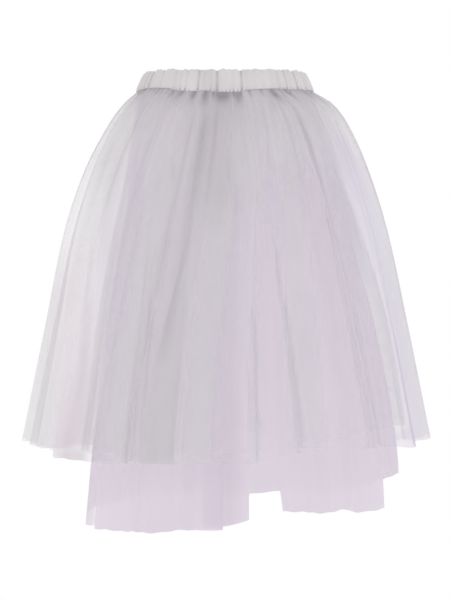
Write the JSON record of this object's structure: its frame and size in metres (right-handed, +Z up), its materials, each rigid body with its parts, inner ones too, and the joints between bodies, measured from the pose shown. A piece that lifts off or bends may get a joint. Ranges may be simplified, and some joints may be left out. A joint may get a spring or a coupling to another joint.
{
  "type": "tulle skirt",
  "caption": "Bell-shaped gathered net skirt on an elastic waistband, with a grey outer and middle layer and a longer under layer in panels with raw hems and a front vent.",
  "frame": {"origin": "middle of the waist opening at half the waistband's height", "axes": "+Z up out of the waist opening, -Y towards the front, +X towards the right of somebody who looks at the front"},
  "size_m": [0.6056, 0.4866, 0.6755],
  "materials": {
    "band_cloth": "matt, gathered over elastic",
    "grey_net": "sheer fine net",
    "lilac_net": "sheer fine net"
  },
  "bodies": {
    "root": {"waistband": "band_cloth", "outer_front": "grey_net", "outer_back": "grey_net", "middle_front": "grey_net", "middle_back": "grey_net", "under_left": "lilac_net", "under_right": "lilac_net", "under_back": "lilac_net"}
  },
  "joints": []
}
